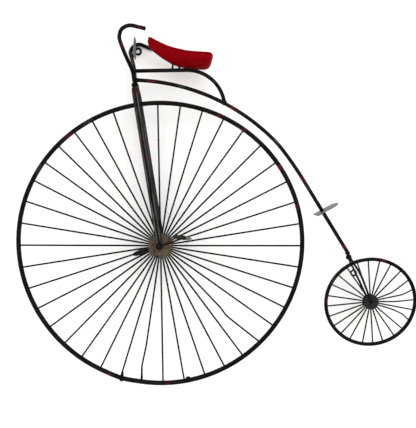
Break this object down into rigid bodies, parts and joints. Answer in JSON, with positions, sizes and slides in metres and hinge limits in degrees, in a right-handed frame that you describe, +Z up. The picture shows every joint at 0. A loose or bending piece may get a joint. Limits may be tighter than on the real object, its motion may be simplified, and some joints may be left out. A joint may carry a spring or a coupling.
{
  "type": "high-wheel bicycle wall sculpture",
  "caption": "Wall-hung high-wheel bicycle of bent, welded steel rod, with spoked wheels and pedals that turn, a hollow sheet saddle and two rings for wall hooks.",
  "frame": {"origin": "centre of the upper hanging ring's hole", "axes": "+X towards the small rear wheel, +Y towards the wall, +Z up"},
  "size_m": [1.0414, 0.18, 0.9181],
  "materials": {
    "black_rod": "worn black paint over steel rod, with rubbed maroon and grey-green dabs",
    "spoke_wire": "thin dark paint over steel wire",
    "hub_bronze": "brown patina on bare steel, satin",
    "hub_dark": "dark heat-tinted steel, satin",
    "plate_grey": "grey rubbed steel sheet",
    "saddle_red": "deep red gloss enamel",
    "weld_metal": "lumpy weld metal under black paint",
    "axle_steel": "dull oiled steel"
  },
  "bodies": {
    "frame": {"stem": "black_rod", "fork_crown": "weld_metal", "fork_rod_near_front": "black_rod", "fork_rod_near_rear": "black_rod", "fork_rod_far_front": "black_rod", "fork_rod_far_rear": "black_rod", "fork_bush_near": "axle_steel", "fork_bush_far": "axle_steel", "handlebar_near": "black_rod", "handlebar_far": "black_rod", "bar_plate": "plate_grey", "backbone": "black_rod", "saddle_rail": "black_rod", "saddle_post_front": "black_rod", "saddle_post_rear": "black_rod", "saddle_pan": "saddle_red", "saddle_top": "saddle_red", "step_plate": "plate_grey", "rear_fork_near": "black_rod", "rear_fork_far": "black_rod", "rear_axle": "axle_steel", "ring_top": "black_rod", "ring_bottom": "black_rod", "weld_beads": "weld_metal"},
    "front_wheel": {"front_rim": "black_rod", "front_spokes": "spoke_wire", "front_hub_core": "hub_bronze", "front_hub_disc_near": "hub_bronze", "front_hub_disc_far": "hub_bronze", "front_axle": "axle_steel", "front_spacer_near": "axle_steel", "front_spacer_far": "axle_steel", "crank_near": "black_rod", "crank_far": "black_rod", "pedal_cap_near": "black_rod", "pedal_cap_far": "black_rod"},
    "rear_wheel": {"rear_rim": "black_rod", "rear_spokes": "spoke_wire", "rear_hub_core": "hub_dark", "rear_hub_disc_near": "hub_dark", "rear_hub_disc_far": "hub_dark"},
    "pedal_near": {"pedal_near": "plate_grey"},
    "pedal_far": {"pedal_far": "plate_grey"}
  },
  "joints": [
    {"name": "front_wheel_spin", "type": "hinge", "parent": "frame", "child": "front_wheel", "pos_m": [0.0694, -0.086, -0.5292], "axis": [0, 1, 0], "continuous": true},
    {"name": "rear_wheel_spin", "type": "hinge", "parent": "frame", "child": "rear_wheel", "pos_m": [0.6149, -0.086, -0.675], "axis": [0, 1, 0], "continuous": true},
    {"name": "pedal_near_spin", "type": "hinge", "parent": "front_wheel", "child": "pedal_near", "pos_m": [0.1335, -0.151, -0.5065], "axis": [0, 1, 0], "continuous": true},
    {"name": "pedal_far_spin", "type": "hinge", "parent": "front_wheel", "child": "pedal_far", "pos_m": [0.0053, -0.021, -0.5519], "axis": [0, 1, 0], "continuous": true}
  ]
}
